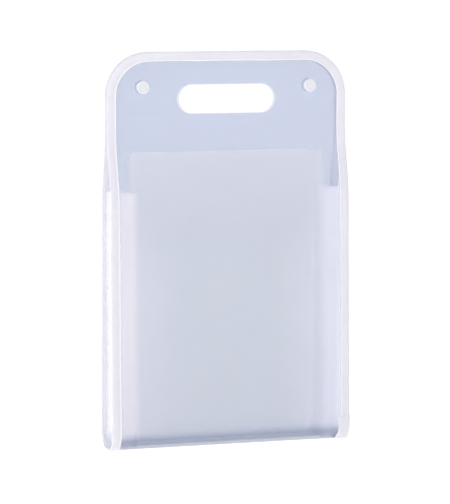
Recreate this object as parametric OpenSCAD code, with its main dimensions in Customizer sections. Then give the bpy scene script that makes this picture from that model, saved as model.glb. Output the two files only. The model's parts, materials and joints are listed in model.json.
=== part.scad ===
// Upright portfolio case: two frosted polypropylene covers folded from one sheet, a pleated
// gusset at each side, loose-topped dividers, a woven edge binding, a hand slot and press studs.
// Origin at the middle of the base, +Z up, the front cover faces -Y.

/* [Case] */
// Width across the edge bindings
case_w = 260; // [220:1:340]
// Height from the base to the top edge
case_h = 409; // [340:1:520]
// Depth across the bindings above the rounded base
base_depth = 41.8; // [34:0.2:52]
// Depth across the bindings at the shoulder, where the covers start to close in
shoulder_depth = 32.6; // [26:0.2:40]
// Depth across the bindings where the covers meet at the top
top_depth = 8.6; // [7.6:0.1:11]
// Distance from the top edge down to the shoulder
shoulder_drop = 157; // [130:1:190]
// Distance from the top edge down to where the covers run parallel
neck_drop = 74; // [68:1:100]
// Radius of the covers' top corners
corner_r = 45; // [20:1:60]
// Thickness of the cover sheet
sheet_t = 0.8; // [0.6:0.1:1.2]

/* [Base] */
// Width of the flat strip that the case stands on, between the base's two round corners
base_flat = 11.8; // [10:0.2:24]
// How far the rounded base runs up the front or back face
base_round_z = 22; // [14:0.5:26]
// Height of the crease that the front cover opens on
crease_h = 12; // [8:0.5:13]
// Gap that stands for the crease between the front cover and the base
crease_gap = 0.5; // [0.4:0.1:1]

/* [Binding] */
// Width of the tape on each face of a cover
tape_w = 9.5; // [6:0.5:14]
// Thickness of the tape
tape_t = 0.5; // [0.3:0.1:0.7]
// Width of the wider tape end that laps over the front right corner
lap_w = 11.5; // [8:0.5:16]
// Height of the top of that lap
lap_h = 27; // [20:1:45]

/* [Hand slot] */
// Length of the slot
slot_w = 105.4; // [85:0.2:130]
// Height of the slot
slot_h = 30.2; // [25:0.2:38]
// Distance from the top edge down to the slot's centre
slot_drop = 48.7; // [40:0.1:52]

/* [Press studs] */
// Distance from the side edge in to a stud's centre
stud_margin = 38.9; // [30:0.1:46]
// Distance from the top edge down to a stud's centre
stud_drop = 36; // [30:0.1:46]
// Diameter of the domed cap
cap_d = 13.8; // [11:0.2:17]
// Height of the domed cap
cap_t = 1.7; // [1.2:0.1:2.4]
// Diameter of the flange of the socket and of the stud
flange_d = 11; // [10:0.2:14]
// Thickness of that flange
flange_t = 1; // [0.8:0.1:1.4]
// Height of the socket above the cover
socket_h = 3.4; // [3:0.1:3.8]
// Diameter of the stud's bulb
bulb_d = 4.6; // [4.2:0.1:5.2]
// How far the bulb reaches into the socket
grip = 1.6; // [1.2:0.1:1.8]
// Diameter of the cap's post
post_d = 2.6; // [2.2:0.1:2.8]

/* [Dividers and gussets] */
// Number of dividers
dividers = 4; // [4]
// Thickness of a divider
divider_t = 0.5; // [0.3:0.1:0.6]
// Distance from the case's side edge in to a divider's edge
divider_margin = 24.5; // [20:0.5:30]
// How far a divider stops below the height where the covers run parallel
divider_under_neck = 28.4; // [10:0.2:40]
// Radius of a divider's top corners
divider_r = 6; // [2:1:20]
// Height of the dividers' lower edge
divider_foot = 5; // [3.5:0.5:8]
// Thickness of the gusset's film
gusset_t = 0.4; // [0.3:0.05:0.5]
// How far the gusset's inner folds lap over a divider's edge
gusset_lap = 4.5; // [3:0.5:12]
// Distance from the case's side edge in to the gusset's outer folds
gusset_inset = 3; // [2:0.5:8]
// How far the gusset's top stands above the shoulder
gusset_over_shoulder = 14.5; // [0:1:20]
// How far the gusset's lower edge stands above the base's round corners
gusset_over_round = 0.5; // [0:0.5:10]
// Gap between neighbouring folds at an outer fold
fold_gap = 0.4; // [0.3:0.05:0.6]

/* [Hidden] */

$fn = 64;
bend_steps = 12;   // straight pieces in the bend between the shoulder and the neck
round_steps = 8;   // straight pieces in each rounded corner of the base
fold_step = 40;    // longest straight step up a gusset fold
far = 2 * (case_w + case_h);
post_play = 0.05;  // radial clearance round a post
bulb_play = 0.1;   // radial clearance round the bulb in the socket's lip
tab_play = 0.1;    // gap inside a flattened inner fold
tab_lap = 1;       // how far a gusset's flat tab runs past its divider's edge
socket_head = [post_d + 1.2, 0.4];  // diameter and height of a post's crushed head in a socket
stud_head = [post_d + 0.4, 0.6];    // and of the one inside a stud

base_half = base_depth / 2;
base_round_y = base_half - base_flat / 2;
shoulder_half = shoulder_depth / 2;
top_half = top_depth / 2;
shoulder_z = case_h - shoulder_drop;
neck_z = case_h - neck_drop;
slot_z = case_h - slot_drop;
stud_x = case_w / 2 - stud_margin;
stud_z = case_h - stud_drop;
stud_gap = top_depth - 2 * (tape_t + sheet_t);
edge_t = 2 * tape_t + sheet_t;
divider_top = neck_z - divider_under_neck;
gusset_top = shoulder_z + gusset_over_shoulder;
gusset_foot = base_round_z + gusset_over_round;
sheet_colour = [0.84, 0.86, 0.94, 0.6];
tape_colour = [0.91, 0.89, 0.96];
film_colour = [0.92, 0.92, 0.98, 0.6];
stud_colour = [0.93, 0.93, 0.95];

// The case's outer half depth, as rows of height and half depth from the base round up.
profile = concat(
    [[base_round_z, base_half]],
    [for (k = [0:bend_steps]) [
        shoulder_z + (neck_z - shoulder_z) * k / bend_steps,
        top_half + (shoulder_half - top_half) * (1 + cos(180 * k / bend_steps)) / 2]],
    [[case_h, top_half]]);

function half_depth(z) = lookup(z, profile);
function room(z) = half_depth(z) - edge_t;

// Heights from low to high, with each bend of the profile that lies between them.
function heights(low, high) = concat(
    [low],
    [for (row = profile) if (row[0] > low + 0.01 && row[0] < high - 0.01) row[0]],
    [high]);

// One side of the case's cross-section, from the flat of the base to the top, set in by inset.
function side_outline(inset, top) = concat(
    [for (k = [0:round_steps - 1]) let (a = 90 * k / round_steps) [
        base_half - base_round_y + (base_round_y - inset) * sin(a),
        base_round_z - (base_round_z - inset) * cos(a)]],
    [for (row = profile) [row[1] - inset, row[0]]],
    [[top_half - inset, top]]);

function mirrored(points) =
    [for (k = [len(points) - 1:-1:0]) [-points[k][0], points[k][1]]];

// A side view of the hollow between two insets, extruded across the whole width.
module shell(outer, inner, high = case_h) {
    across_x() difference() {
        polygon(concat(side_outline(outer, high), mirrored(side_outline(outer, high))));
        polygon(concat(side_outline(inner, high + 1), mirrored(side_outline(inner, high + 1))));
    }
}

// Extrudes a side view, drawn as depth and height, along X.
module across_x(w = far) {
    rotate([90, 0, 90]) linear_extrude(w, center = true) children();
}

// Extrudes a front view, drawn as width and height, along Y.
module across_y(d = far) {
    rotate([90, 0, 0]) linear_extrude(d, center = true) children();
}

// The covers' front view with round top corners, set in by inset.
module cover_outline(inset) {
    w = case_w - 2 * inset;
    r = corner_r - inset;
    translate([-w / 2, -1]) square([w, case_h - corner_r + 1]);
    translate([-w / 2 + r, case_h - corner_r]) square([w - 2 * r, r]);
    for (side = [-1, 1])
        translate([side * (w / 2 - r), case_h - corner_r]) circle(r, $fn = 96);
}

module slot_outline() {
    r = slot_h / 2;
    translate([0, slot_z]) {
        square([slot_w - slot_h, slot_h], center = true);
        for (side = [-1, 1]) translate([side * (slot_w / 2 - r), 0]) circle(r);
    }
}

// Keeps the part of its children that belongs to the front cover.
module front_part() {
    intersection() {
        children();
        translate([-far / 2, -far, crease_h + crease_gap / 2]) cube([far, far, far]);
    }
}

// Keeps the part of its children that belongs to the base and the back cover.
module back_part() {
    difference() {
        children();
        translate([-far / 2, -far, crease_h - crease_gap / 2]) cube([far, far, far]);
    }
}

module cover_sheet() {
    difference() {
        intersection() {
            shell(tape_t, tape_t + sheet_t);
            across_y() cover_outline(tape_t);
        }
        across_y() slot_outline();
        for (side = [-1, 1]) translate([side * stud_x, 0, stud_z]) rotate([90, 0, 0])
            cylinder(h = far, r = post_d / 2 + post_play, center = true);
    }
}

// The band of tape seen from the front: round the sides and top, wider on the right under the crease.
module tape_band() {
    difference() {
        cover_outline(0);
        difference() {
            cover_outline(tape_w);
            translate([case_w / 2 - lap_w, 0]) square([lap_w, crease_h]);
        }
    }
}

// The tape folded over the covers' side and top edges.
module edge_tape() {
    difference() {
        intersection() {
            shell(0, edge_t);
            across_y() tape_band();
        }
        intersection() {
            shell(tape_t, tape_t + sheet_t, case_h + 1);
            across_y() cover_outline(tape_t);
        }
    }
}

module back_cover() {
    color(sheet_colour) back_part() cover_sheet();
}

module back_binding() {
    color(tape_colour) back_part() edge_tape();
}

module front_cover() {
    color(sheet_colour) front_part() cover_sheet();
}

module front_binding() {
    color(tape_colour) front_part() edge_tape();
}

// An upright slab from x0 to x1, as deep as needed, from the base up to height high.
module slab(x0, x1, high) {
    translate([x0, -far / 2, 0]) cube([x1 - x0, far, high]);
}

// The end of the base's tape, folded over the front binding's face and edge on the right.
module binding_lap() {
    edge = case_w / 2;
    color(tape_colour) front_part() difference() {
        union() {
            intersection() {
                shell(-tape_t, tape_t);
                slab(edge - lap_w, edge + tape_t, lap_h);
            }
            intersection() {
                shell(-tape_t, edge_t);
                slab(edge, edge + tape_t, lap_h);
            }
        }
        intersection() {
            shell(0, edge_t);
            slab(edge - tape_w, edge, far);
        }
    }
}

// A divider's share of the depth: 1 is the back cover, -1 the front cover.
function share(n) = 1 - 2 * n / (dividers + 1);

// Divider n, counted from the back.
module divider(n) {
    levels = heights(divider_foot, divider_top);
    line = [for (z = levels) [share(n) * room(z) - divider_t / 2, z]];
    far_line = [for (k = [len(levels) - 1:-1:0])
        [share(n) * room(levels[k]) + divider_t / 2, levels[k]]];
    w = case_w - 2 * divider_margin;
    color(film_colour) intersection() {
        across_x() polygon(concat(line, far_line));
        across_y() {
            translate([-w / 2, 0]) square([w, divider_top - divider_r]);
            translate([divider_r - w / 2, 0]) square([w - 2 * divider_r, divider_top]);
            for (side = [-1, 1])
                translate([side * (w / 2 - divider_r), divider_top - divider_r])
                    circle(divider_r);
        }
    }
}

// The two faces of one fold's film at height z, as pairs of points from its front tip, in along
// the front leg, round the inner fold behind the divider, and out along the back leg.
function fold_pairs(n, z) =
    let (step = 1 / (dividers + 1),
         middle = share(n) * room(z),
         tip = case_w / 2 - gusset_inset,
         bend = case_w / 2 - divider_margin + tab_lap,
         nose = case_w / 2 - divider_margin - gusset_lap,
         front_tip = n == dividers ? -room(z) + fold_gap
                                   : (share(n) - step) * room(z) + fold_gap / 2,
         back_tip = n == 1 ? room(z) - fold_gap : (share(n) + step) * room(z) - fold_gap / 2,
         y0 = middle + divider_t / 2,
         y1 = y0 + gusset_t,
         y2 = y1 + tab_play,
         y3 = y2 + gusset_t)
    [[[tip, front_tip], [tip, front_tip + gusset_t]],
     [[bend, y0], [bend, y1]],
     [[nose, y0], [nose + gusset_t, y1]],
     [[nose, y3], [nose + gusset_t, y2]],
     [[bend, y3], [bend, y2]],
     [[tip, back_tip], [tip, back_tip - gusset_t]]];

// The same heights with no step longer than the given length.
function refined(levels, step) = concat(
    [for (k = [0:len(levels) - 2])
        let (low = levels[k], rise = levels[k + 1] - low, parts = ceil(rise / step))
            for (j = [0:parts - 1]) low + rise * j / parts],
    [levels[len(levels) - 1]]);

// Fold n of a gusset, counted from the back, with its inner fold on divider n.
module gusset_fold(n, side) {
    levels = refined(heights(gusset_foot, gusset_top), fold_step);
    pairs = len(fold_pairs(n, gusset_foot));
    ring = 2 * pairs;
    points = [for (z = levels) for (pair = fold_pairs(n, z)) for (p = pair) [p[0], p[1], z]];
    last = ring * (len(levels) - 1);
    caps = [for (k = [0:2:ring - 4]) each [
        [k, k + 1, k + 3, k + 2],
        [last + k + 2, last + k + 3, last + k + 1, last + k]]];
    walls = [for (j = [0:ring:last - ring]) for (k = [j:2:j + ring - 4]) each [
        [k, k + 2, k + ring + 2],
        [k, k + ring + 2, k + ring],
        [k + 1, k + ring + 3, k + 3],
        [k + 1, k + ring + 1, k + ring + 3]]];
    ends = [for (j = [0:ring:last - ring]) each [
        [j + 1, j, j + ring, j + ring + 1],
        [j + ring - 2, j + ring - 1, j + 2 * ring - 1, j + 2 * ring - 2]]];
    color(film_colour) on_side(side) polyhedron(points, concat(caps, walls, ends), convexity = 6);
}

// Leaves its children on the right for side 1, and mirrors them to the left for side -1.
module on_side(side) {
    if (side < 0) mirror([1, 0, 0]) children();
    else children();
}

// Places a press-stud piece on a cover's inner face with its axis pointing to the other cover.
module on_cover(x_side, y_side) {
    translate([x_side * stud_x, y_side * stud_gap / 2, stud_z])
        rotate([y_side > 0 ? 90 : -90, 0, 0]) children();
}

// The domed cap on the outer face, with its post through the cover to a crushed head inside,
// given as its diameter and height.
module cap(head) {
    rim = 0.5;
    r = cap_d / 2;
    head_r = head[0] / 2;
    head_end = flange_t + head[1];
    dome = [for (a = [0:15:90]) [
        (r - rim) * cos(a) + (a == 0 ? rim : 0), -sheet_t - rim - (cap_t - rim) * sin(a)]];
    color(stud_colour) rotate_extrude() polygon(concat(
        [[0, head_end], [head_r, head_end], [head_r, flange_t],
         [post_d / 2, flange_t], [post_d / 2, -sheet_t], [r, -sheet_t]],
        dome));
}

module socket() {
    hole = post_d / 2 + post_play;
    lip = bulb_d / 2 + bulb_play;
    lip_t = 0.4;
    undercut = 0.2;
    wall = 2;
    cavity = lip + undercut;
    body = cavity + wall;
    color(stud_colour) rotate_extrude() polygon([
        [hole, 0], [flange_d / 2, 0], [flange_d / 2, flange_t], [body, flange_t],
        [body, socket_h], [lip, socket_h], [lip, socket_h - lip_t],
        [cavity, socket_h - lip_t], [cavity, flange_t], [hole, flange_t]]);
}

module stud() {
    hole = post_d / 2 + post_play;
    head_room = 0.2;
    undercut = 0.25;
    bulb_rise = 0.5;
    bulb_flat = 0.4;
    bore = hole + head_room;
    bulb = bulb_d / 2;
    neck = bulb - undercut;
    tip = stud_gap - socket_h + grip;
    bulb_top = tip - bulb_flat;
    bulb_foot = bulb_top - bulb_flat;
    color(stud_colour) rotate_extrude() polygon([
        [hole, 0], [flange_d / 2, 0], [flange_d / 2, flange_t], [neck, flange_t],
        [neck, bulb_foot - bulb_rise], [bulb, bulb_foot], [bulb, bulb_top], [neck, tip],
        [bore, tip], [bore, flange_t], [hole, flange_t]]);
}

back_cover();
back_binding();
front_cover();
front_binding();
binding_lap();
divider(1);  // divider_1
divider(2);  // divider_2
divider(3);  // divider_3
divider(4);  // divider_4
gusset_fold(1, -1);  // gusset_left_1
gusset_fold(2, -1);  // gusset_left_2
gusset_fold(3, -1);  // gusset_left_3
gusset_fold(4, -1);  // gusset_left_4
gusset_fold(1, 1);  // gusset_right_1
gusset_fold(2, 1);  // gusset_right_2
gusset_fold(3, 1);  // gusset_right_3
gusset_fold(4, 1);  // gusset_right_4
on_cover(-1, -1) cap(socket_head);  // cap_front_left
on_cover(1, -1) cap(socket_head);  // cap_front_right
on_cover(-1, 1) cap(stud_head);  // cap_back_left
on_cover(1, 1) cap(stud_head);  // cap_back_right
on_cover(-1, -1) socket();  // socket_left
on_cover(1, -1) socket();  // socket_right
on_cover(-1, 1) stud();  // stud_left
on_cover(1, 1) stud();  // stud_right
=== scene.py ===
"""Looks of the portfolio case: frosted covers, woven edge binding, pleated gussets, dividers, studs."""

import json
import math
import random

import bmesh
import bpy
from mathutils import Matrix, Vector
from mathutils.geometry import delaunay_2d_cdt

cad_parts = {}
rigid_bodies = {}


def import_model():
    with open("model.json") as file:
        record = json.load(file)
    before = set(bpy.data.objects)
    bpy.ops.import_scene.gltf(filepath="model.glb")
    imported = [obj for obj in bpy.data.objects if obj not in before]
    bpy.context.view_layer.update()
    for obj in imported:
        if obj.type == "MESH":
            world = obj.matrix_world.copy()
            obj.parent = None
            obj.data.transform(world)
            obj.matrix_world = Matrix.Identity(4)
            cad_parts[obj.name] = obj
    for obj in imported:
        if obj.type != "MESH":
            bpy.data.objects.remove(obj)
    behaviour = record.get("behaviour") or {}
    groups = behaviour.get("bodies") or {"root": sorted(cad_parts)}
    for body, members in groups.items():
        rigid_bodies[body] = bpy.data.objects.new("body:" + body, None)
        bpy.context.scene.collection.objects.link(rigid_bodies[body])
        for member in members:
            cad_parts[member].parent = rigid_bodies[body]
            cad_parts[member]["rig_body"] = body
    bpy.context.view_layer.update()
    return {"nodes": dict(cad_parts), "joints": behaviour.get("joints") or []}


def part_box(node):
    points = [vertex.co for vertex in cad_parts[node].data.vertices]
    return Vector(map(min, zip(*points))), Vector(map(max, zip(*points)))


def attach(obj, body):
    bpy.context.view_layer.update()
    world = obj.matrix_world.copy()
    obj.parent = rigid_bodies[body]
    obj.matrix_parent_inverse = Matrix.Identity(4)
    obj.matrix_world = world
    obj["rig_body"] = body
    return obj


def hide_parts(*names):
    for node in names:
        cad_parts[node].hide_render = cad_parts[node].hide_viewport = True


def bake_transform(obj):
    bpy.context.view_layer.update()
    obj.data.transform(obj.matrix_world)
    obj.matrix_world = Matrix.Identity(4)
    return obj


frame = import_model()

MM = 0.001
NODES = frame["nodes"]
DIVIDERS = sum(name.startswith("divider_") for name in NODES)

# ---------------------------------------------------------------- sizes read from the frame
BINDING_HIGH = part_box("back_binding")[1]
HALF_W, BASE_HALF, TOP = BINDING_HIGH
TAPE_T = BASE_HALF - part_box("back_cover")[1].y
SHEET_T = 0.8 * MM
EDGE_T = 2 * TAPE_T + SHEET_T
TAPE_W = 9.5 * MM
HINGE = Vector(frame["joints"][0]["pos_m"])
FILM_FOOT = 3 * MM
GUSSET_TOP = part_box("gusset_left_1")[1].z
NOSE_X = -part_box("gusset_left_1")[1].x
TIP_X = -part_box("gusset_left_1")[0].x
DIVIDER_HALF_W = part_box("divider_1")[1].x
DIVIDER_FOOT, DIVIDER_TOP = (corner.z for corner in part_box("divider_1"))
DIVIDER_T = 0.5 * MM
DIVIDER_R = 6 * MM
FILM_T = 0.16 * MM
FAR = 8 * MM                        # longest step between rows or columns of a flat stretch
NEAR = 4 * MM                       # and where the wall bends gently
FINE = 1.2 * MM                     # and in the base's round


def edge_rows():
    """Heights and outer half depths up the case's side edge, from the top of the base's round."""
    deepest = {}
    for v in NODES["back_binding"].data.vertices:
        if v.co.x > HALF_W - 0.01 * MM:
            z = round(v.co.z, 5)
            deepest[z] = max(deepest.get(z, 0.0), v.co.y)
    start = min(z for z, y in deepest.items() if y > BASE_HALF - 0.01 * MM)
    return sorted((z, y) for z, y in deepest.items() if z >= start)


ROWS = edge_rows()
ROUND_Z = ROWS[0][0]
CORNER_R = TOP - ROWS[-1][0]
SHOULDER_Z = next(z for z, y in ROWS if z > 2 * ROUND_Z)
FLAT_HALF = max(v.co.y for v in NODES["back_binding"].data.vertices if v.co.z < 0.01 * MM)
CORNER_STEPS = 24


def half_depth(z):
    """The case's outer half depth at height z, smooth through the rows."""
    if z <= ROUND_Z:
        return BASE_HALF
    if z >= ROWS[-1][0]:
        return ROWS[-1][1]
    k = max(i for i in range(len(ROWS) - 1) if ROWS[i][0] <= z)

    def slope(i):
        low, high = ROWS[max(i - 1, 0)], ROWS[min(i + 1, len(ROWS) - 1)]
        return (high[1] - low[1]) / (high[0] - low[0])

    (z0, y0), (z1, y1) = ROWS[k], ROWS[k + 1]
    h = z1 - z0
    t = (z - z0) / h
    return ((1 + 2 * t) * (1 - t) ** 2 * y0 + t * t * (3 - 2 * t) * y1
            + h * t * (1 - t) ** 2 * slope(k) + h * t * t * (t - 1) * slope(k + 1))


def room(z):
    """Half depth inside the covers at height z."""
    return half_depth(z) - EDGE_T


def inside_at(z):
    """Half depth inside the tape at height z, following the base's round corner."""
    if z >= ROUND_Z:
        return room(z)
    a = math.acos((ROUND_Z - z) / (ROUND_Z - EDGE_T))
    return corner_point(a, EDGE_T)[0]


def corner_point(a, inset):
    """Depth and height on the base's rounded corner at angle a, set in by inset."""
    return (FLAT_HALF + (BASE_HALF - FLAT_HALF - inset) * math.sin(a),
            ROUND_Z - (ROUND_Z - inset) * math.cos(a))


CORNER_LEN = sum(
    math.dist(corner_point(math.pi / 2 * k / CORNER_STEPS, 0),
              corner_point(math.pi / 2 * (k + 1) / CORNER_STEPS, 0))
    for k in range(CORNER_STEPS))
UP_S = FLAT_HALF + CORNER_LEN
TOP_S = UP_S + TOP - ROUND_Z


def station(z):
    """Distance along the wall, from the middle of the base, of height z on the upright part."""
    return UP_S + z - ROUND_Z


def wall_point(s, inset):
    """Depth and height, at distance s from the middle of the base, of the surface set in by inset."""
    if s < FLAT_HALF:
        return s, inset
    if s < UP_S:
        return corner_point(math.pi / 2 * (s - FLAT_HALF) / CORNER_LEN, inset)
    z = min(ROUND_Z + s - UP_S, TOP)
    return half_depth(z) - inset, ROUND_Z + s - UP_S


def place(side, x, s, inset):
    """A point on the back (side 1) or front (side -1) wall."""
    y, z = wall_point(s, inset)
    return Vector((x, side * y, z))


CREASE_S = FLAT_HALF + CORNER_LEN * math.acos(1 - HINGE.z / ROUND_Z) * 2 / math.pi


# ---------------------------------------------------------------- mesh helpers
def new_piece(name, points, faces, material, slot, sharp=35):
    """A smooth-shaded object from points and faces, with its outside facing out."""
    mesh = bpy.data.meshes.new(name)
    mesh.from_pydata([tuple(p) for p in points], [], faces)
    bm = bmesh.new()
    bm.from_mesh(mesh)
    bmesh.ops.recalc_face_normals(bm, faces=bm.faces)
    bm.to_mesh(mesh)
    bm.free()
    mesh.polygons.foreach_set("use_smooth", [True] * len(mesh.polygons))
    mesh.set_sharp_from_angle(angle=math.radians(sharp))
    mesh.materials.append(material)
    piece = bpy.data.objects.new(name, mesh)
    bpy.context.scene.collection.objects.link(piece)
    return piece


def steps(low, high, longest):
    """Even steps from low to high, none longer than longest, both ends included."""
    count = max(1, math.ceil((high - low) / longest - 1e-6))
    return [low + (high - low) * k / count for k in range(count + 1)]


def smooth(t):
    """An even start and stop from 0 to 1."""
    t = min(max(t, 0.0), 1.0)
    return t * t * (3 - 2 * t)


def loft(rings, closed_ring=True, closed_path=False):
    """Points and faces of rings joined in order; an open path gets flat ends."""
    size = len(rings[0])
    points = [p for ring in rings for p in ring]
    faces = []
    count = len(rings) if closed_path else len(rings) - 1
    for j in range(count):
        a, b = j * size, (j + 1) % len(rings) * size
        for i in range(size if closed_ring else size - 1):
            k = (i + 1) % size
            faces.append((a + i, a + k, b + k, b + i))
    if not closed_path:
        faces.append(tuple(range(size)))
        faces.append(tuple(range((len(rings) - 1) * size, len(rings) * size)))
    return points, faces


def write_uv(piece, values):
    """Gives the piece a UV map from one (u, v) for each vertex."""
    layer = piece.data.uv_layers.new(name="Along")
    for loop in piece.data.loops:
        layer.data[loop.index].uv = values[loop.vertex_index]


# ---------------------------------------------------------------- flat sheets with cut-outs
SLOT_POINTS = [v.co for v in NODES["front_cover"].data.vertices
               if abs(v.co.x) < HALF_W / 2 and TOP - 0.08 < v.co.z < TOP - 0.02]
SLOT_HALF_W = max(p.x for p in SLOT_POINTS)
SLOT_Z = sum(f(p.z for p in SLOT_POINTS) for f in (min, max)) / 2
SLOT_R = max(p.z for p in SLOT_POINTS) - SLOT_Z
STUD_X = (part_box("stud_right")[0].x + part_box("stud_right")[1].x) / 2
STUD_Z = (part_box("stud_right")[0].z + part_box("stud_right")[1].z) / 2
POST = 1.35                         # a stud's post, radius in mm
POST_R = POST * MM


def slot_gap(x, s):
    """Distance from a point of the unrolled sheet to the hand slot's edge, negative inside it."""
    return math.hypot(max(abs(x) - SLOT_HALF_W + SLOT_R, 0), s - station(SLOT_Z)) - SLOT_R


def stud_distance(x, s):
    """Distance from a point of the unrolled sheet to the nearer press stud's axis."""
    return math.hypot(abs(x) - STUD_X, s - station(STUD_Z))


def outline_gap(x, s, inset, bottom):
    """Distance in from the sheet's outline to a point, negative outside it."""
    w, top, r = HALF_W - inset, TOP_S - inset, CORNER_R - inset
    gap = min(w - abs(x), top - s, s - bottom)
    if abs(x) > w - r and s > top - r:
        gap = min(gap, r - math.hypot(abs(x) - w + r, s - top + r))
    return gap


def cover_outline(inset, bottom, rows):
    """The unrolled outline, from the lower right up, over the round corners and down the left."""
    w, top, r = HALF_W - inset, TOP_S - inset, CORNER_R - inset
    right = [(w, s) for s in rows if s < top - r - 0.5 * MM]
    arc = [(w - r + r * math.cos(a), top - r + r * math.sin(a))
           for a in [math.pi / 2 * k / 20 for k in range(21)]]
    across = [(x, top) for x in steps(-(w - r), w - r, FAR)[1:-1][::-1]]
    half = right + arc
    left = [(-x, s) for x, s in reversed(half)]
    base = [(x, bottom) for x in steps(-w, w, FAR)[1:-1]]
    return half + across + left + base


def ring_points(x, s, rx, r, count):
    """A stadium or circle: its straight half length is rx, its radius r."""
    points = []
    for k in range(count):
        a = 2 * math.pi * (k + 0.5) / count
        shift = rx if math.cos(a) > 0 else -rx
        points.append((x + shift + r * math.cos(a), s + r * math.sin(a)))
    return points


def cut(loops, inner, keep):
    """Triangles over the loops and inner points, for which keep says yes at the middle."""
    flat, edges = [], []
    for loop in loops:
        first = len(flat)
        flat += loop
        edges += [(first + k, first + (k + 1) % len(loop)) for k in range(len(loop))]
    flat += inner
    result = delaunay_2d_cdt([Vector(p) for p in flat], edges, [], 0, 1e-6)
    verts, faces = result[0], result[2]
    kept = []
    for f in faces:
        middle = sum((verts[i] for i in f), Vector((0, 0))) / len(f)
        if keep(middle.x, middle.y):
            kept.append(tuple(f))
    return verts, kept


def thicken(flat, faces, near, far):
    """A closed sheet from flat points: near and far place each point on its two faces."""
    count = len(flat)
    points = [near(*p) for p in flat] + [far(*p) for p in flat]
    edges = {}
    for f in faces:
        for k in range(len(f)):
            a, b = f[k], f[(k + 1) % len(f)]
            key = (min(a, b), max(a, b))
            edges[key] = None if key in edges else (a, b)
    walls = [(a, b, b + count, a + count) for a, b in filter(None, edges.values())]
    return points, [tuple(reversed(f)) for f in faces] + walls + [
        tuple(i + count for i in f) for f in faces]


def cover_rows(bottom):
    """Stations for the sheet's rows: close together in the bends and at the crease, wide elsewhere."""
    rows = []
    if bottom < FLAT_HALF:
        rows += steps(bottom, FLAT_HALF, FAR)[:-1]
    beyond = 6 * MM
    bend_low = station(SHOULDER_Z) - beyond
    bend_high = station(ROWS[-2][0]) + beyond
    rows += steps(FLAT_HALF, UP_S, FINE)[:-1]
    rows += steps(UP_S, bend_low, FAR)[:-1]
    rows += steps(bend_low, bend_high, NEAR)[:-1]
    rows += steps(bend_high, TOP_S, FAR)
    return rows


SHEET_WAVE = 0.35 * MM
CREASE_DEPTH = 0.22 * MM
CREASE_WIDTH = 0.8 * MM
CREASE_INSIDE = 0.6                 # the groove's share that shows on the inner face


def bulge(side, x, s):
    """How far a cover stands proud of its flat shape, none near its edges and cut-outs."""
    if s < UP_S:
        return 0.0
    fade = smooth((HALF_W - 12 * MM - abs(x)) / (40 * MM)) * smooth((s - UP_S) / (60 * MM))
    fade *= smooth((station(SHOULDER_Z) + 50 * MM - s) / (60 * MM))
    wave = math.sin(x / 0.071 + side) * math.cos(s / 0.093 + 0.6 * side)
    wave += 0.5 * math.sin(x / 0.033 - s / 0.05)
    return fade * SHEET_WAVE * wave


def groove(x, s):
    """Depth of the folded-in crease on a cover's outer face."""
    reach = smooth((HALF_W - 22 * MM - abs(x)) / (6 * MM))
    return reach * CREASE_DEPTH * math.exp(-((s - CREASE_S) / CREASE_WIDTH) ** 2)


def cover(name, side, bottom, material):
    """A cover's sheet, with the round corners, the hand slot and the post holes cut in it."""
    inset = TAPE_T
    rows = cover_rows(bottom)
    slot = ring_points(0, station(SLOT_Z), SLOT_HALF_W - SLOT_R, SLOT_R, 72)
    posts = [ring_points(x, station(STUD_Z), 0, POST_R, 20) for x in (-STUD_X, STUD_X)]
    margin = 4 * MM
    columns = steps(-HALF_W + margin, HALF_W - margin, FAR)
    inner = [(x, s) for s in rows for x in columns
             if outline_gap(x, s, inset, bottom) > 1.5 * MM
             and slot_gap(x, s) > 2 * MM and stud_distance(x, s) > 2.5 * MM]

    def keep(x, s):
        return (outline_gap(x, s, inset, bottom) > 0 and slot_gap(x, s) > 0
                and stud_distance(x, s) > POST_R * 0.95)

    flat, faces = cut([cover_outline(inset, bottom, rows), slot, *posts], inner, keep)
    crease = groove if side < 0 else lambda x, s: 0.0

    def near(x, s):
        return place(side, x, s, TAPE_T - bulge(side, x, s) + crease(x, s))

    def far(x, s):
        inset_in = TAPE_T + SHEET_T - bulge(side, x, s)
        return place(side, x, s, inset_in + CREASE_INSIDE * crease(x, s))

    return new_piece(name, *thicken(flat, faces, near, far), material, "sheet")


# ---------------------------------------------------------------- woven binding and its stitches
STITCH_PITCH = 3.2 * MM
STITCH_IN = 7.4 * MM
THREAD_R = 0.24 * MM
THREAD_IN = 0.13 * MM               # how far under the tape's face the thread's middle runs
THREAD_JITTER = 0.12                # mm
TAPE_STEP = 1.6 * MM
BASE_FADE = 8 * MM                  # the relief grows from nothing over this much of the base's round
RIM_HEIGHT = 0.16 * MM
CROWN_HEIGHT = 0.18 * MM
PUCKER_HEIGHT = 0.06 * MM
STITCH_DEPTH = 0.17 * MM
EDGE_GAP = 0.8 * MM                 # the flat margin between the folded edge and the crown


def edge_path(bottom, longest):
    """Samples round a cover's edge: x, station, the inward direction and the distance so far."""
    samples = []
    straight = steps(bottom, TOP_S - CORNER_R, longest)
    for s in straight[:-1]:
        samples.append((HALF_W, s, -1.0, 0.0, s - bottom))
    run = straight[-1] - bottom
    count = math.ceil(CORNER_R * math.pi / 2 / longest)
    for k in range(count):
        a = math.pi / 2 * k / count
        samples.append((HALF_W - CORNER_R + CORNER_R * math.cos(a),
                        TOP_S - CORNER_R + CORNER_R * math.sin(a),
                        -math.cos(a), -math.sin(a), run + CORNER_R * a))
    run += CORNER_R * math.pi / 2
    half_top = HALF_W - CORNER_R
    top = steps(0, half_top, longest)
    half = samples + [(half_top - x, TOP_S, 0.0, -1.0, run + x) for x in top]
    run += half_top
    other = [(-x, s, -nx, ns, 2 * run - q) for x, s, nx, ns, q in reversed(half[:-1])]
    return half + other


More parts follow.
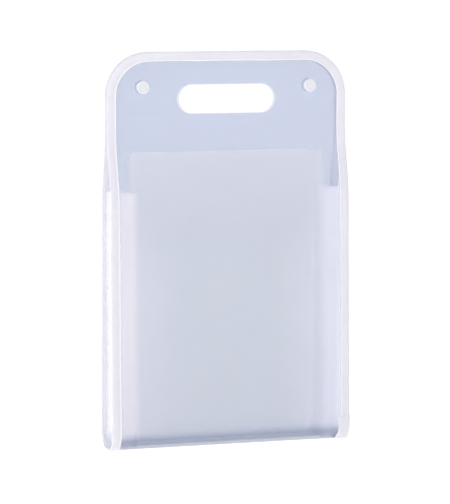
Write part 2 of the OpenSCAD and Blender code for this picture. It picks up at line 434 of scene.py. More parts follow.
def tape_section(width):
    """The section round the tape, as share of the width in from the edge, inset and leaf."""
    across = [1.0, 0.985, 0.955, 0.91, 0.86, 0.815, 0.78, 0.745, 0.69, 0.6, 0.48, 0.36, 0.24, 0.15]
    r = EDGE_T / 2
    outer = [(f * width, 0.0, 1) for f in across]
    bend = [(r - r * math.sin(a), r - r * math.cos(a), 0)
            for a in [math.pi * k / 8 for k in range(9)]]
    inner = [(f * width, EDGE_T, -1) for f in reversed(across)]
    slot = [(width, TAPE_T + SHEET_T, 0), (TAPE_T, TAPE_T + SHEET_T, 0),
            (TAPE_T, TAPE_T, 0), (width, TAPE_T, 0)]
    return outer + bend + inner + slot


def relief(width, d, q):
    """How far the tape's leaf stands proud: raised rim, pressed-in stitch line, soft puckers."""
    f = d / width
    rim = RIM_HEIGHT * math.exp(-((f - 0.955) / 0.035) ** 2)
    line = math.exp(-((d - STITCH_IN) / (0.75 * MM)) ** 2)
    pull = 0.6 + 0.4 * math.cos(2 * math.pi * q / STITCH_PITCH)
    crown = CROWN_HEIGHT * math.sin(math.pi * min(max((d - EDGE_GAP) / (STITCH_IN - EDGE_GAP), 0), 1))
    pucker = PUCKER_HEIGHT * math.sin(q / (4.1 * MM)) * math.sin(math.pi * min(f, 1))
    fade = 0.0 if f > 0.99 else 1.0
    return fade * (rim + crown + pucker) - STITCH_DEPTH * line * pull


def tape_width(q, seed):
    """The tape's slightly uneven width at distance q along it."""
    return TAPE_W + 0.16 * MM * math.sin(q / 0.031 + seed) + 0.1 * MM * math.sin(q / 0.0117 + 2 * seed)


def binding(name, side, bottom, material):
    """The tape folded over a cover's edge, from one end under the base to the other."""
    rings, uv = [], []
    for x, s, nx, ns, q in edge_path(bottom, TAPE_STEP):
        width = tape_width(q, side)
        ring, along = [], 0.0
        for d, inset, leaf in tape_section(width):
            lift = relief(width, d, q) * leaf * smooth((s - FLAT_HALF) / BASE_FADE)
            ring.append(place(side, x + nx * d, s + ns * d, inset - lift))
            along = along + (ring[-1] - ring[-2]).length if len(ring) > 1 else 0.0
            uv.append((q, along))
        rings.append(ring)
    piece = new_piece(name, *loft(rings), material, "tape")
    write_uv(piece, uv)
    return piece


def stitch(side, x, s, nx, ns, inset, up):
    """One thread bridge lying along the edge, sunk by half into the tape."""
    rings = []
    for e, r in ((-1.2, 0.25), (-1.0, 0.75), (-0.4, 1.0), (0.4, 1.0), (1.0, 0.75), (1.2, 0.25)):
        ring = []
        for k in range(6):
            a = math.pi * k / 3
            across = THREAD_R * r * math.cos(a)
            rise = THREAD_R * (r * math.sin(a) - 0.5 * (1 - r))
            ring.append(place(side, x + ns * e * MM + nx * across, s - nx * e * MM + ns * across,
                              inset - up * rise))
        rings.append(ring)
    return loft(rings)


def stitches(name, side, bottom, material):
    """The row of stitches on both leaves of a cover's tape."""
    points, faces = [], []
    rng = random.Random(side + 7)
    for x, s, nx, ns, q in edge_path(bottom, STITCH_PITCH):
        if s < bottom + 2 * MM:
            continue
        d = STITCH_IN + rng.uniform(-THREAD_JITTER, THREAD_JITTER) * MM
        for inset, up in ((THREAD_IN, 1), (EDGE_T - THREAD_IN, -1)):
            p, f = stitch(side, x + nx * d, s + ns * d, nx, ns, inset, up)
            first = len(points)
            points += p
            faces += [tuple(i + first for i in face) for face in f]
    return new_piece(name, points, faces, material, "tape", sharp=80)


LAP_W = 11.5 * MM
LAP_SPREAD = 2.2 * MM
LAP_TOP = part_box("binding_lap")[1].z
LAP_START = FLAT_HALF + 0.18 * CORNER_LEN
LAP_SLANT = 2.2 * MM                # how much lower the lap ends at its inner edge
LAP_ROUND = 0.5 * MM                # radius of its fold round the case's edge
LAP_SUNK = 0.06 * MM
LAP_CURL = 0.22 * MM
LAP_STEPS = 32


def lap(name, material):
    """The end of the base's tape, folded over the front right corner."""
    rings, uv = [], []
    r = LAP_ROUND
    edge = [(1, LAP_SUNK), (1, -0.36 * MM)]
    outer = [(d, -TAPE_T) for d in (1, 0.98, 0.93, 0.86, 0.78, 0.66, 0.5, 0.32, 0.14)]
    length = station(LAP_TOP) - LAP_START
    for k in range(LAP_STEPS + 1):
        t = k / LAP_STEPS
        ring, along = [], 0.0
        for share_in, inset in edge + outer:
            height = LAP_TOP - LAP_SLANT * share_in
            s = LAP_START + (station(height) - LAP_START) * t
            width = LAP_W + LAP_SPREAD * smooth(1 - t * 1.6)
            lift = 0.1 * MM * math.exp(-((share_in - 0.93) / 0.04) ** 2)
            lift += LAP_CURL * smooth((t - 0.86) / 0.14) * share_in
            lift += 0.05 * MM * math.sin(9 * share_in + 11 * t)
            ring.append(place(-1, HALF_W - share_in * width, s, inset - lift))
        s = LAP_START + length * t
        for a in [math.pi / 2 * j / 4 for j in range(5)]:
            ring.append(place(-1, HALF_W + r * math.sin(a), s, r - 2 * r * math.cos(a)))
        ring.append(place(-1, HALF_W + r, s, EDGE_T - 0.1 * MM))
        ring.append(place(-1, HALF_W + 0.02 * MM, s, EDGE_T))
        ring.append(place(-1, HALF_W + 0.02 * MM, s, r))
        ring.append(place(-1, HALF_W - r, s, LAP_SUNK))
        for i, p in enumerate(ring):
            along += (p - ring[i - 1]).length if i else 0.0
            uv.append((t * length, along))
        rings.append(ring)
    piece = new_piece(name, *loft(rings), material, "tape")
    write_uv(piece, uv)
    return piece


# ---------------------------------------------------------------- dividers
LEAF_STEP = 9 * MM
LEAF_WAVE = 0.35 * MM
DEEPER = 2.2 * MM                   # how much lower the middle dividers reach than their solids


def share(n):
    """Depth of divider n: 1 at the back cover, where n is 0, to -1 at the front cover."""
    return 1 - 2 * n / (DIVIDERS + 1)


def divider_y(n, z):
    """Depth of divider n's middle at height z."""
    return share(n) * room(max(z, ROUND_Z))


def divider(n, material):
    """A loose-topped divider with round top corners and a slight wave at its free edge."""
    name = f"divider_{n}"
    w, top, r = DIVIDER_HALF_W, DIVIDER_TOP, DIVIDER_R
    low = DIVIDER_FOOT - DEEPER if 1 < n < DIVIDERS else DIVIDER_FOOT
    rows = steps(low, top, LEAF_STEP)
    columns = steps(-w, w, LEAF_STEP)[1:-1]
    right = [(w, z) for z in rows if z < top - r - 1 * MM]
    arc = [(w - r + r * math.cos(a), top - r + r * math.sin(a))
           for a in [math.pi / 2 * k / 8 for k in range(9)]]
    across = [(x, top) for x in steps(-(w - r), w - r, LEAF_STEP)[1:-1][::-1]]
    left = [(-x, z) for x, z in reversed(right + arc)]
    foot = [(x, low) for x in columns]
    inner = [(x, z) for z in rows[1:-1] for x in columns if z < top - 3 * MM]

    def keep(x, z):
        beyond = abs(x) > w - r and z > top - r
        return not beyond or math.hypot(abs(x) - w + r, z - top + r) < r

    flat, faces = cut([right + arc + across + left + foot], inner, keep)

    def face(offset):
        def at(x, z):
            free = smooth((z - GUSSET_TOP * 0.7) / (DIVIDER_TOP - GUSSET_TOP * 0.7))
            side_hold = 1 - 0.8 * smooth((abs(x) - w + 30 * MM) / (30 * MM)) * (z < GUSSET_TOP)
            wave = math.sin(x / 0.041 + 2.1 * n) + 0.6 * math.sin(x / 0.019 - 1.3 * n)
            return Vector((x, divider_y(n, z) + offset + LEAF_WAVE * free * side_hold * wave, z))
        return at

    half = DIVIDER_T / 2
    piece = new_piece(name + "_film", *thicken(flat, faces, face(-half), face(half)), material, "film")
    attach(piece, name)
    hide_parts(name)


# ---------------------------------------------------------------- pleated gussets
TAB_IN = DIVIDER_T / 2 + 0.1 * MM
TAB_OUT = TAB_IN + 0.3 * MM
FOLD_R = 0.45 * MM
FLANGE_R = 0.2 * MM                 # the tight turn where the film goes flat on a cover
FLANGE_GAP = 0.15 * MM
FILM_WOBBLE = 0.35 * MM
FILM_STEP = 6 * MM
TAB_X = DIVIDER_HALF_W + 1 * MM
FLANGE_X = HALF_W - TAPE_W - 1 * MM


def leg(x0, y0, x1, y1, count=9):
    """Points along a slack film leg that leaves both ends along the dividers."""
    return [(x0 + (x1 - x0) * k / count, y0 + (y1 - y0) * smooth(k / count)) for k in range(1, count)]


def pleat_line(k, z):
    """The film's middle line at height z from divider k to divider k + 1; 0 is the back cover."""
    wobble = FILM_WOBBLE * math.sin(z / 0.037 + 1.9 * k)
    tip = TIP_X - FOLD_R + 0.2 * MM + 0.6 * wobble
    inner = inside_at(z)
    last = k == DIVIDERS
    middle = (divider_y(k, z) + divider_y(k + 1, z)) / 2 + 0.4 * wobble
    turn = [(math.sin(a), math.cos(a)) for a in [math.pi * j / 6 for j in range(7)]]
    line = []
    if k == 0:
        y = inner - FLANGE_GAP
        line += [(FLANGE_X, y), ((FLANGE_X + tip) / 2, y), (tip - 0.3 * MM, y)]
        r = FLANGE_R
        line += [(tip + r * c, y - r + r * d) for c, d in turn]
        line += leg(tip - 0.3 * MM, y - 2 * r, TAB_X, divider_y(1, z) + TAB_OUT)
    else:
        y = divider_y(k, z) + TAB_IN
        line += [(NOSE_X + 0.1 * MM, y), ((NOSE_X + TAB_X) / 2, y), (TAB_X, y)]
        if not last:
            line += leg(TAB_X, y, tip, middle + FOLD_R)
            line += [(tip + FOLD_R * c, middle + FOLD_R * d) for c, d in turn]
            line += leg(tip, middle - FOLD_R, TAB_X, divider_y(k + 1, z) + TAB_OUT)
    if last:
        y = -inner + FLANGE_GAP
        r = FLANGE_R
        line += leg(TAB_X, divider_y(k, z) + TAB_IN, tip - 0.3 * MM, y + 2 * r)
        line += [(tip + r * c, y + r + r * d) for c, d in turn]
        line += [(tip - 0.3 * MM, y), ((FLANGE_X + tip) / 2, y), (FLANGE_X, y)]
    else:
        y = divider_y(k + 1, z) + TAB_OUT
        r = (TAB_OUT - TAB_IN) / 2
        line += [(TAB_X, y), ((NOSE_X + TAB_X) / 2, y), (NOSE_X + r, y)]
        line += [(NOSE_X + r - r * c, y - r + r * d) for c, d in turn[1:]]
    return line


def film_ring(line, z, side):
    """A closed ring round the film at height z: one face out, the other back."""
    out, back = [], []
    for i, (x, y) in enumerate(line):
        x0, y0 = line[max(i - 1, 0)]
        x1, y1 = line[min(i + 1, len(line) - 1)]
        length = math.hypot(x1 - x0, y1 - y0)
        nx, ny = -(y1 - y0) / length * FILM_T / 2, (x1 - x0) / length * FILM_T / 2
        out.append(Vector((side * (x + nx), y + ny, z)))
        back.append(Vector((side * (x - nx), y - ny, z)))
    return out + back[::-1]


def strip_loft(rings):
    """Like loft, but with its two ends closed by strips of quads across the film."""
    points, faces = loft(rings)
    size = len(rings[0])
    faces = faces[:-2]
    for first in (0, (len(rings) - 1) * size):
        for i in range(size // 2 - 1):
            a, b = first + i, first + size - 1 - i
            faces.append((a, a + 1, b - 1, b))
    return points, faces


def layer_y(k, z, ends):
    """Depth at height z of the film's first (ends 0) or last (ends 1) flat layer in pleat k."""
    if ends == 0:
        return room(z) - 0.6 * MM if k == 0 else divider_y(k, z) + TAB_IN
    return -room(z) + 0.6 * MM if k == DIVIDERS else divider_y(k + 1, z) + TAB_OUT


def blend_pleat(piece, k):
    """Bakes the pleat's placement into its mesh; the spread between its flat layers is worked out but not
    used.
    """
    low = Vector((0, layer_y(k, ROUND_Z, 0), ROUND_Z))
    high = Vector((0, layer_y(k, GUSSET_TOP, 0), GUSSET_TOP))
    along = (high - low).normalized()
    normal = Vector((0, -along.z, along.y))
    nearest = min((Vector((0, layer_y(k, z, 1), z)) - low) @ normal
                  for z in steps(ROUND_Z, GUSSET_TOP, 10 * MM))
    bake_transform(piece)


def gusset(side, word, material):
    """One side's gusset as pleats cut at the inner folds, each baked in place."""
    for k in range(DIVIDERS + 1):
        rings = [film_ring(pleat_line(k, z), z, side)
                 for z in steps(FILM_FOOT, GUSSET_TOP, FILM_STEP)]
        piece = new_piece(f"gusset_{word}_pleat_{k + 1}", *strip_loft(rings), material, "film", sharp=60)
        blend_pleat(piece, k)
        if k < DIVIDERS:
            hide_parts(f"gusset_{word}_{k + 1}")


# ---------------------------------------------------------------- press studs
def lathe(name, node, profile, material, turns=48):
    """Turns a profile of radius and height above the cover's outer face round the node's axis."""
    low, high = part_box(node)
    x, z = (low.x + high.x) / 2, (low.z + high.z) / 2
    side = -1 if "front" in node or "socket" in node else 1
    face = ROWS[-1][1] - TAPE_T
    rings = []
    for k in range(turns):
        a = 2 * math.pi * k / turns
        rings.append([Vector((x + r * MM * math.cos(a), side * (face + h * MM), z + r * MM * math.sin(a)))
                      for r, h in profile])
    points, faces = loft(rings, closed_ring=profile[0][0] > 0, closed_path=True)
    if profile[0][0] == 0:
        points, faces = weld_axis(points, faces, len(profile), turns)
    piece = new_piece(name, points, faces, material, "stud", sharp=32)
    piece.visible_shadow = False
    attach(piece, NODES[node]["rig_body"])
    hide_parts(node)


def weld_axis(points, faces, size, turns):
    """Makes the first and last profile points, which lie on the axis, one point each."""
    merged = []
    for f in faces:
        g = []
        for i in f:
            j = i % size
            i = j if j in (0, size - 1) else i
            if i not in g:
                g.append(i)
        if len(g) > 2:
            merged.append(tuple(g))
    used = sorted({i for f in merged for i in f})
    new = {i: k for k, i in enumerate(used)}
    return [points[i] for i in used], [tuple(new[i] for i in f) for f in merged]


# Profiles in mm, as radius and height above the cover's outer face; the inner face is at -T.
# The cap's profile runs from axis to axis, and the socket's and the stud's are closed rings.
T = SHEET_T / MM
POST_END = -(T + 1.0)
HEAD = [(0, POST_END - 0.4), (1.5, POST_END - 0.4), (1.8, POST_END - 0.3), (1.8, POST_END),
        (1.3, POST_END), (1.3, 0.0)]
RIM = [(6.3, 0.0), (6.75, 0.12), (6.9, 0.45), (6.85, 0.8), (6.6, 1.15), (6.2, 1.42), (5.7, 1.56)]
DISH = [(5.25, 1.55), (4.95, 1.44), (4.7, 1.3), (4.3, 1.26), (3.0, 1.36), (1.6, 1.43), (0, 1.46)]
CAP = HEAD + RIM + DISH
FLANGE = [(POST, -T), (5.2, -T), (5.5, -T - 0.2), (5.5, -T - 0.8), (5.3, -T - 1.0)]
SOCKET = FLANGE + [
    (4.75, -T - 1.0), (4.6, -T - 1.15), (4.6, -T - 3.15), (4.4, -T - 3.4), (2.7, -T - 3.4),
    (2.4, -T - 3.2), (2.4, -T - 3.0), (2.6, -T - 2.9), (2.6, -T - 1.0), (POST, -T - 1.0)]
STUD = FLANGE + [
    (2.3, -T - 1.0), (2.05, -T - 1.2), (2.05, -T - 2.9), (2.2, -T - 3.2), (2.3, -T - 3.5),
    (2.3, -T - 3.7), (2.15, -T - 4.05), (1.9, -T - 4.2), (1.55, -T - 4.2), (1.55, -T - 1.0),
    (POST, -T - 1.0)]


# ---------------------------------------------------------------- materials
class Shader:
    """A material with one Principled node and short calls for the nodes that feed it."""

    def __init__(self, name, roughness=0.5, **sockets):
        self.mat = bpy.data.materials.new(name)
        self.mat.use_nodes = True
        self.tree = self.mat.node_tree
        self.bsdf = self.tree.nodes["Principled BSDF"]
        self.bsdf.inputs["Roughness"].default_value = roughness
        for key, value in sockets.items():
            self.bsdf.inputs[key.replace("_", " ")].default_value = value

    def node(self, kind, links=(), **values):
        made = self.tree.nodes.new(kind)
        for key, value in values.items():
            if hasattr(made, key):
                setattr(made, key, value)
            else:
                made.inputs[key.replace("_", " ")].default_value = value
        for socket, source in dict(links).items():
            self.tree.links.new(source, made.inputs[socket])
        return made

    def place(self, scale=(1, 1, 1), uv=False):
        source = self.node("ShaderNodeTexCoord").outputs["UV" if uv else "Object"]
        mapping = self.node("ShaderNodeMapping", {"Vector": source})
        mapping.inputs["Scale"].default_value = scale
        return mapping.outputs[0]

    def noise(self, scale, stretch=(1, 1, 1), detail=2.0, rough=0.5, uv=False):
        made = self.node("ShaderNodeTexNoise", {"Vector": self.place(stretch, uv)})
        made.inputs["Scale"].default_value = scale
        made.inputs["Detail"].default_value = detail
        made.inputs["Roughness"].default_value = rough
        return made.outputs["Fac"]

    def ramp(self, value, low, high, to_low, to_high):
        made = self.node("ShaderNodeMapRange", {"Value": value})
        for key, number in (("From Min", low), ("From Max", high), ("To Min", to_low), ("To Max", to_high)):
            made.inputs[key].default_value = number
        return made.outputs[0]

    def maths(self, operation, a, b=0.0):
        made = self.node("ShaderNodeMath", operation=operation)
        for socket, value in zip(made.inputs, (a, b)):
            if isinstance(value, (int, float)):
                socket.default_value = value
            else:
                self.tree.links.new(value, socket)
        return made.outputs[0]

    def mix(self, factor, a, b):
        made = self.node("ShaderNodeMix", data_type="RGBA")
        for socket, value in zip((made.inputs[0], made.inputs[6], made.inputs[7]), (factor, a, b)):
            if isinstance(value, (tuple, list)):
                socket.default_value = (*value, 1)
            elif isinstance(value, (int, float)):
                socket.default_value = value
            else:
                self.tree.links.new(value, socket)
        return made.outputs[2]

    def bump(self, height, strength, distance):
        made = self.node("ShaderNodeBump", {"Height": height})
        made.inputs["Strength"].default_value = strength
        made.inputs["Distance"].default_value = distance
        self.feed("Normal", made.outputs[0])

    def feed(self, socket, source):
        self.tree.links.new(source, self.bsdf.inputs[socket])

    def axis(self, index):
        """One of the Object coordinates."""
        source = self.node("ShaderNodeTexCoord").outputs["Object"]
        return self.node("ShaderNodeSeparateXYZ", {"Vector": source}).outputs[index]


SHEET_BLUE = (0.228, 0.302, 0.52)
# Painted shade: the deep blue painted into the covers' rounded foot.
SHEET_PAINTED_SHADE = (0.0, 0.035, 0.19)
# Painted light: the paler lavender painted on the covers over the gussets.
SHEET_PAINTED_LIGHT = (0.62, 0.60, 0.70)
TAPE_COLOUR = (0.75, 0.74, 0.81)
TAPE_SHADE = (0.62, 0.605, 0.69)
# Painted highlight: the near-white line along the tape's raised inner rim.
TAPE_PAINTED_HIGHLIGHT = (0.93, 0.92, 0.96)
THREAD_COLOUR = (0.80, 0.79, 0.85)
LEAF_COLOUR = (0.80, 0.79, 0.755)
LEAF_PALE = (0.93, 0.90, 0.87)
# Painted shade: the dividers' film darkened low in the base.
LEAF_PAINTED_SHADE = (0.46, 0.525, 0.64)
PLEAT_COLOUR = (0.97, 0.965, 0.985)
# Painted shade: the gusset film, lightly darkened low in the base.
PLEAT_PAINTED_SHADE = (0.80, 0.82, 0.90)
STUD_COLOUR = (0.63, 0.625, 0.655)
WEAVE_PITCH = 0.0009


def scaled(colour, by):
    """A colour made darker or lighter."""
    return tuple(c * by for c in colour)


def frosted(name, colour, painted_shade_colour, painted_light_colour, alpha, roughness):
    """Frosted polypropylene: cloudy tone, faint upright flow lines, a sand-fine grain and scuffs, with
    painted light over the gussets and painted shade at the foot.
    """
    m = Shader(name, Alpha=alpha, IOR=1.49)
    cloud = m.ramp(m.noise(9, detail=3), 0.3, 0.7, 0.0, 1.0)
    flow = m.ramp(m.noise(1, stretch=(70, 70, 2.5), detail=2), 0.35, 0.65, 0.0, 1.0)
    tone = m.mix(cloud, scaled(colour, 0.965), scaled(colour, 1.03))
    tone = m.mix(m.maths("MULTIPLY", flow, 0.3), tone, scaled(colour, 1.06))
    # Painted light: a paler band painted over the gussets below their tops. It is full on the left, the key
    # light's side, fades to the right, and is broken up by the cloud noise.
    across = m.maths("ABSOLUTE", m.axis(0))
    painted_light_band = m.maths("MULTIPLY", m.ramp(across, NOSE_X - 2 * MM, NOSE_X + 7 * MM, 0.0, 1.0),
                     m.ramp(m.axis(2), GUSSET_TOP - 3 * MM, GUSSET_TOP + 1 * MM, 1.0, 0.0))
    cloud_and_key_side = m.maths("MULTIPLY", m.ramp(cloud, 0.0, 1.0, 0.75, 1.0),
                   m.ramp(m.axis(0), -HALF_W, HALF_W, 1.0, 0.4))
    tone = m.mix(m.maths("MULTIPLY", painted_light_band, cloud_and_key_side), tone, painted_light_colour)
    # Painted shade: the sheet darkens to a deep blue from just above the crease down into its rounded foot.
    foot = m.ramp(m.axis(2), HINGE.z - 1 * MM, HINGE.z + 9 * MM, 1.0, 0.0)
    tone = m.mix(m.maths("POWER", foot, 2.0), tone, painted_shade_colour)
    m.feed("Base Color", tone)
    grain = m.noise(2600, detail=1)
    scuff = m.ramp(m.noise(1, stretch=(260, 260, 18), detail=4), 0.55, 0.72, 0.0, 0.12)
    rough = m.ramp(m.noise(24, detail=3), 0.3, 0.7, roughness - 0.05, roughness + 0.05)
    m.feed("Roughness", m.maths("ADD", rough, scuff))
    m.bump(grain, 0.12, 0.00012)
    return m.mat


def film(name, colour, pale_colour, painted_foot_shade, alpha):
    """Thin milky film: soft upright creases, paler high up and at its sides, with painted shade low in the
    base.
    """
    m = Shader(name, Alpha=alpha, IOR=1.49)
    cloud = m.ramp(m.noise(22, stretch=(1, 1, 0.35), detail=3), 0.3, 0.7, 0.0, 1.0)
    edge = m.ramp(m.maths("ABSOLUTE", m.axis(0)), NOSE_X - 45 * MM, NOSE_X, 0.0, 1.0)
    high = m.ramp(m.axis(2), GUSSET_TOP - 80 * MM, DIVIDER_TOP, 0.0, 1.0)
    tone = m.mix(m.maths("MAXIMUM", edge, high), colour, pale_colour)
    # The cloudy tone leans a little towards the painted shade colour.
    tone = m.mix(m.maths("MULTIPLY", cloud, 0.05), tone, painted_foot_shade)
    # Painted shade: below the crease the film turns to the painted shade colour.
    foot = m.ramp(m.axis(2), HINGE.z - 3 * MM, HINGE.z + 4 * MM, 1.0, 0.0)
    m.feed("Base Color", m.mix(foot, tone, painted_foot_shade))
    m.feed("Roughness", m.ramp(m.noise(60, detail=2), 0.3, 0.7, 0.3, 0.46))
    wrinkle = m.noise(1, stretch=(240, 240, 6), detail=2)
    m.bump(m.maths("ADD", wrinkle, m.maths("MULTIPLY", m.noise(1900), 0.12)), 0.07, 0.0003)
    return m.mat


def woven(name, colour, shade, painted_highlight_colour):
    """Plain-woven tape: threads across and along, a painted highlight along the inner rim, uneven dye and a
    little fuzz.
    """
    m = Shader(name, roughness=0.75, Sheen_Weight=0.35, Sheen_Roughness=0.5,
               Subsurface_Weight=0.35, Subsurface_Scale=0.002)
    m.bsdf.inputs["Subsurface Radius"].default_value = (1, 1, 1)
    uv = m.place((1, 1, 1), uv=True)
    parts = m.node("ShaderNodeSeparateXYZ", {"Vector": uv})
    warp = m.maths("SINE", m.maths("MULTIPLY", parts.outputs[0], 2 * math.pi / WEAVE_PITCH))
    weft = m.maths("SINE", m.maths("MULTIPLY", parts.outputs[1], 2 * math.pi / WEAVE_PITCH))
    weave = m.ramp(m.maths("MULTIPLY", warp, weft), -1.0, 1.0, 0.0, 1.0)
    dye = m.ramp(m.noise(140, uv=True, detail=3), 0.35, 0.65, 0.0, 1.0)
    patch = m.ramp(m.noise(14, detail=2), 0.3, 0.7, 0.0, 1.0)
    tone = m.mix(m.maths("MULTIPLY", weave, 0.3), colour, shade)
    tone = m.mix(m.maths("MULTIPLY", dye, 0.35), tone, scaled(colour, 1.05))
    tone = m.mix(m.maths("MULTIPLY", patch, 0.25), tone, shade)
    # Painted highlight: the first millimetre in from the tape's inner rim, where the raised rim catches
    # light, is painted near-white.
    rim = m.ramp(parts.outputs[1], 0.5 * MM, 1.3 * MM, 1.0, 0.0)
    tone = m.mix(m.maths("MULTIPLY", rim, 0.85), tone, painted_highlight_colour)
    m.feed("Base Color", tone)
    m.feed("Roughness", m.ramp(dye, 0.0, 1.0, 0.66, 0.84))
    fuzz = m.noise(2400, detail=2)
    m.bump(m.maths("ADD", weave, m.maths("MULTIPLY", fuzz, 0.5)), 0.4, 0.00022)
    return m.mat


def thread(name, colour):
    """Twisted sewing thread."""
    m = Shader(name, roughness=0.6, Sheen_Weight=0.25, Sheen_Roughness=0.4)
    twist = m.node("ShaderNodeTexWave", {"Vector": m.place((1, 0.4, 1))})
    twist.bands_direction = "DIAGONAL"
    twist.inputs["Scale"].default_value = 900
    twist.inputs["Distortion"].default_value = 0.6
    m.feed("Base Color", m.mix(twist.outputs["Fac"], scaled(colour, 0.92), colour))
    m.feed("Roughness", m.ramp(m.noise(800), 0.3, 0.7, 0.5, 0.7))
    m.bump(twist.outputs["Fac"], 0.4, 0.0001)
    return m.mat


def moulded(name, colour):
    """Glossy moulded plastic with flow marks and fine scratches."""
    m = Shader(name, roughness=0.28, IOR=1.5, Coat_Weight=0.25, Coat_Roughness=0.15,
               Subsurface_Weight=0.7, Subsurface_Scale=0.005)
    m.bsdf.inputs["Subsurface Radius"].default_value = (1, 1, 1)
    flow = m.ramp(m.noise(160, detail=3), 0.3, 0.7, 0.0, 1.0)
    m.feed("Base Color", m.mix(flow, scaled(colour, 0.95), scaled(colour, 1.02)))
    scratch = m.noise(1, stretch=(2200, 300, 240), detail=3)
    m.feed("Roughness", m.ramp(scratch, 0.35, 0.7, 0.2, 0.42))
    m.bump(m.maths("ADD", m.noise(500), m.maths("MULTIPLY", scratch, 0.3)), 0.12, 0.0001)
    return m.mat


def floor_material():
    """Pale matt floor, slightly uneven."""
    m = Shader("floor_pale", roughness=0.9, Emission_Strength=0.78)
    m.bsdf.inputs["Emission Color"].default_value = (1, 1, 1, 1)
    tone = m.ramp(m.noise(3, detail=3), 0.3, 0.7, 0.0, 1.0)
    m.feed("Base Color", m.mix(tone, (0.48, 0.48, 0.48), (0.52, 0.52, 0.52)))
    m.bump(m.noise(700), 0.05, 0.0002)
    return m.mat


# ---------------------------------------------------------------- camera, floor and light
CAMERA_AT = (-0.9674, -2.8005, 0.4962)
CAMERA_YAW = 19.03
CAMERA_PITCH = 5.69
CAMERA_LENS = 204.85
FLOOR_REACH = 14.0
FLOOR_DROP = 0.2 * MM               # the floor lies this far under the case's lowest face
WORLD_LIGHT = 0.45
WORLD_SEEN = 1.02


def camera():
    """A long lens from the front left, slightly above."""
    data = bpy.data.cameras.new("view")
    data.sensor_width = 36
    data.lens = CAMERA_LENS
    data.clip_end = 50
    made = bpy.data.objects.new("view", data)
    yaw, pitch = math.radians(CAMERA_YAW), math.radians(CAMERA_PITCH)
    look = Vector((math.sin(yaw) * math.cos(pitch), math.cos(yaw) * math.cos(pitch), -math.sin(pitch)))
    made.location = CAMERA_AT
    made.rotation_euler = look.to_track_quat("-Z", "Y").to_euler()
    bpy.context.scene.collection.objects.link(made)
    bpy.context.scene.camera = made


def floor():
    """A wide disc of floor, far larger than any view of the case."""
    turns = 64
    rings = [[Vector((r * math.cos(a), r * math.sin(a), -FLOOR_DROP))
              for a in [2 * math.pi * k / turns for k in range(turns)]] for r in (0.3, 1.2, FLOOR_REACH)]
    points, faces = loft(rings)
    mesh = bpy.data.meshes.new("floor")
    mesh.from_pydata([tuple(p) for p in points], [], faces[:-1])
    mesh.materials.append(floor_material())
    made = bpy.data.objects.new("floor", mesh)
    bpy.context.scene.collection.objects.link(made)


def softbox(name, at, aim, size, power):
    """A white rectangular light at one point, turned to another."""
    data = bpy.data.lights.new(name, "AREA")
    data.shape = "RECTANGLE"
    data.size, data.size_y = size
    data.energy = power
    made = bpy.data.objects.new(name, data)
    made.location = at
    made.rotation_euler = (Vector(aim) - Vector(at)).to_track_quat("-Z", "Y").to_euler()
    bpy.context.scene.collection.objects.link(made)


def world():
    """Even white surroundings, bright to the camera and softer as a light."""
    made = bpy.data.worlds.new("studio")
    bpy.context.scene.world = made
    made.use_nodes = True
    nodes, links = made.node_tree.nodes, made.node_tree.links
    back = nodes["Background"]
    path = nodes.new("ShaderNodeLightPath")
    level = nodes.new("ShaderNodeMapRange")
    level.inputs["To Min"].default_value = WORLD_LIGHT
    level.inputs["To Max"].default_value = WORLD_SEEN
    links.new(path.outputs["Is Camera Ray"], level.inputs["Value"])
    links.new(level.outputs[0], back.inputs["Strength"])
    back.inputs["Color"].default_value = (1, 1, 1, 1)


def studio():
    """Camera, floor, surroundings and three soft lights."""
    camera()
    floor()
    world()
    middle = (0, 0, TOP / 2)
    softbox("key", (-1.9, -1.1, 1.3), middle, (1.3, 1.3), 38)
    softbox("fill", (1.3, -1.6, 0.8), middle, (1.2, 1.0), 6.5)
    softbox("rim", (0.3, 1.6, 1.3), middle, (2.4, 1.6), 16)
    scene = bpy.context.scene
    scene.view_settings.view_transform = "Standard"
    scene.cycles.transparent_max_bounces = 72
    scene.cycles.max_bounces = 16
    scene.cycles.diffuse_bounces = 10


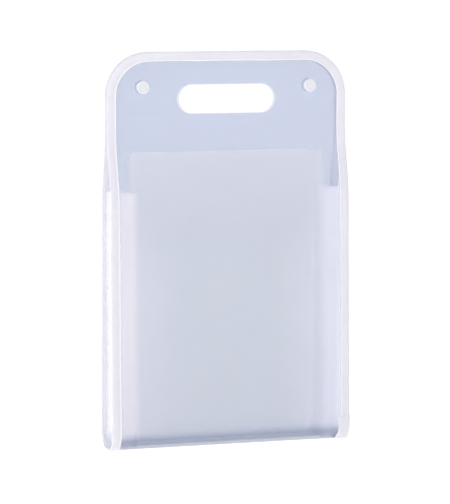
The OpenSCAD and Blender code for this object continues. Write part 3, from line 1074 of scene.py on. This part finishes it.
# ---------------------------------------------------------------- assembly
def covers_and_bindings():
    """The folded sheet, its tape and thread, and the tape's lapped end."""
    sheet = frosted("frosted_sheet", SHEET_BLUE, SHEET_PAINTED_SHADE, SHEET_PAINTED_LIGHT, alpha=0.181, roughness=0.4)
    tape = woven("woven_tape", TAPE_COLOUR, TAPE_SHADE, TAPE_PAINTED_HIGHLIGHT)
    thread_white = thread("thread_white", THREAD_COLOUR)
    seam = -FLAT_HALF
    back = cover("back_sheet", 1, seam, sheet)
    front = cover("front_sheet", -1, FLAT_HALF, sheet)
    back_tape = binding("back_tape", 1, seam, tape)
    front_tape = binding("front_tape", -1, FLAT_HALF, tape)
    back_thread = stitches("back_stitches", 1, seam, thread_white)
    front_thread = stitches("front_stitches", -1, FLAT_HALF, thread_white)
    corner = lap("corner_lap", tape)
    for sheet_piece in (back, front):
        sheet_piece.visible_shadow = False
    for piece, node in ((back, "back_cover"), (back_tape, "back_binding"), (back_thread, None)):
        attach(piece, "back")
        if node:
            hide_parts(node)
    for piece, node in ((front, "front_cover"), (front_tape, "front_binding"), (front_thread, None),
                        (corner, "binding_lap")):
        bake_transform(piece)
        if node:
            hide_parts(node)


def inside():
    """The dividers and both gussets."""
    leaf = film("divider_film", LEAF_COLOUR, LEAF_PALE, LEAF_PAINTED_SHADE, alpha=0.14)
    pleats = film("gusset_film", PLEAT_COLOUR, PLEAT_COLOUR, PLEAT_PAINTED_SHADE, alpha=0.17)
    for n in range(1, DIVIDERS + 1):
        divider(n, leaf)
    gusset(-1, "left", pleats)
    gusset(1, "right", pleats)


def press_studs():
    """Both press studs: caps on the covers, socket and stud between them."""
    plastic = moulded("moulded_white", STUD_COLOUR)
    for word in ("left", "right"):
        lathe(f"front_cap_{word}", f"cap_front_{word}", CAP, plastic)
        lathe(f"back_cap_{word}", f"cap_back_{word}", CAP, plastic)
        lathe(f"snap_socket_{word}", f"socket_{word}", SOCKET, plastic)
        lathe(f"snap_stud_{word}", f"stud_{word}", STUD, plastic)


studio()
covers_and_bindings()
inside()
press_studs()
